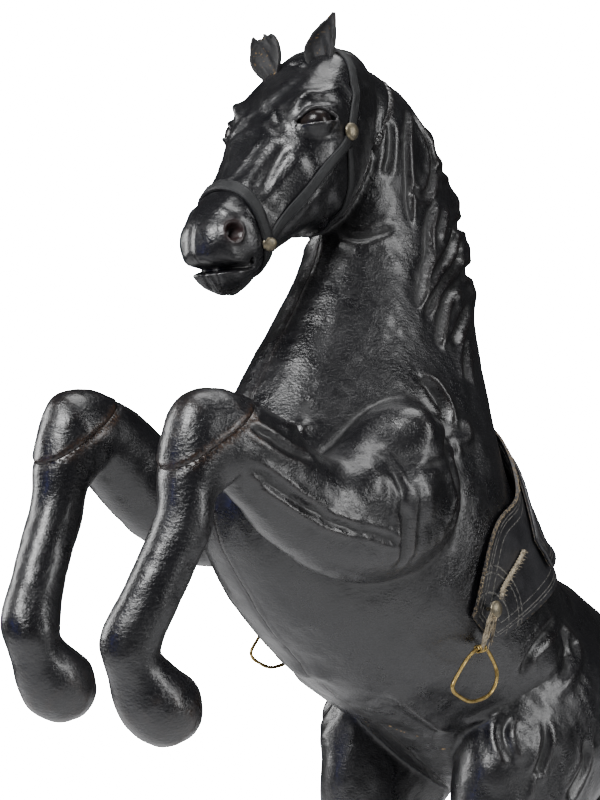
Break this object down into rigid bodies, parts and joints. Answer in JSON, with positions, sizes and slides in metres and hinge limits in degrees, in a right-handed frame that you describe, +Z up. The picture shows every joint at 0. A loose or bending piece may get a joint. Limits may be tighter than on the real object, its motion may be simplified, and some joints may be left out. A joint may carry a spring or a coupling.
{
  "type": "rearing horse figure",
  "caption": "Leather-covered wooden figure of a bridled and saddled horse rearing on its hind legs and tail, with hanging wire stirrups.",
  "frame": {"origin": "centre of the overall box at floor level, under the horse between hind hooves and tail", "axes": "+Z up, the horse faces -Y, its left side is +X"},
  "size_m": [0.1468, 0.441, 0.6041],
  "materials": {
    "carved_wood": "bare carved softwood",
    "black_leather": "black, fine grain, polished by handling",
    "strap_leather": "black, matte, rubbed grey",
    "saddle_leather": "black, tooled lines, rough tan edge",
    "eye_glass": "polished dark glass eye",
    "brass": "dull, aged",
    "thong_leather": "undyed, frayed"
  },
  "bodies": {
    "horse": {"cheek_strap_left": "strap_leather", "cheek_strap_right": "strap_leather", "crown_strap": "strap_leather", "ear_left": "black_leather", "ear_right": "black_leather", "eye_left": "eye_glass", "eye_right": "eye_glass", "forelock": "black_leather", "head_core": "carved_wood", "head_dowel": "carved_wood", "head_leather": "black_leather", "hip_dowel_left": "carved_wood", "hip_dowel_right": "carved_wood", "lower_foreleg_core_left": "carved_wood", "lower_foreleg_core_right": "carved_wood", "lower_foreleg_leather_left": "black_leather", "lower_foreleg_leather_right": "black_leather", "lower_hindleg_core_left": "carved_wood", "lower_hindleg_core_right": "carved_wood", "lower_hindleg_leather_left": "black_leather", "lower_hindleg_leather_right": "black_leather", "mane": "black_leather", "neck_core": "carved_wood", "neck_dowel": "carved_wood", "neck_leather_left": "black_leather", "neck_leather_right": "black_leather", "noseband": "strap_leather", "noseband_stud_left": "brass", "noseband_stud_right": "brass", "rosette_left": "brass", "rosette_right": "brass", "saddle_seat": "saddle_leather", "saddle_skirt": "saddle_leather", "saddle_stud_left": "brass", "saddle_stud_right": "brass", "shoulder_dowel_left": "carved_wood", "shoulder_dowel_right": "carved_wood", "stirrup_thong_left": "thong_leather", "stirrup_thong_right": "thong_leather", "tail_core": "carved_wood", "tail_dowel": "carved_wood", "tail_leather": "black_leather", "thigh_core_left": "carved_wood", "thigh_core_right": "carved_wood", "thigh_leather_left": "black_leather", "thigh_leather_right": "black_leather", "throat_strap": "strap_leather", "trunk_core": "carved_wood", "trunk_leather_left": "black_leather", "trunk_leather_right": "black_leather", "upper_foreleg_core_left": "carved_wood", "upper_foreleg_core_right": "carved_wood", "upper_foreleg_leather_left": "black_leather", "upper_foreleg_leather_right": "black_leather"},
    "tie_left": {"stirrup_tie_left": "thong_leather"},
    "stirrup_left": {"stirrup_left": "brass"},
    "tie_right": {"stirrup_tie_right": "thong_leather"},
    "stirrup_right": {"stirrup_right": "brass"}
  },
  "joints": [
    {"name": "tie_swing_left", "type": "hinge", "parent": "horse", "child": "tie_left", "pos_m": [0.06972, -0.02521, 0.33086], "axis": [1, 0, 0], "range_deg": [-35, 1.5]},
    {"name": "stirrup_swing_left", "type": "hinge", "parent": "tie_left", "child": "stirrup_left", "pos_m": [0.06272, -0.02521, 0.31286], "axis": [0, 1, 0], "range_deg": [-85, 8]},
    {"name": "tie_swing_right", "type": "hinge", "parent": "horse", "child": "tie_right", "pos_m": [-0.06972, -0.02521, 0.33086], "axis": [1, 0, 0], "range_deg": [-35, 1.5]},
    {"name": "stirrup_swing_right", "type": "hinge", "parent": "tie_right", "child": "stirrup_right", "pos_m": [-0.06272, -0.02521, 0.31286], "axis": [0, 1, 0], "range_deg": [-8, 85]}
  ]
}
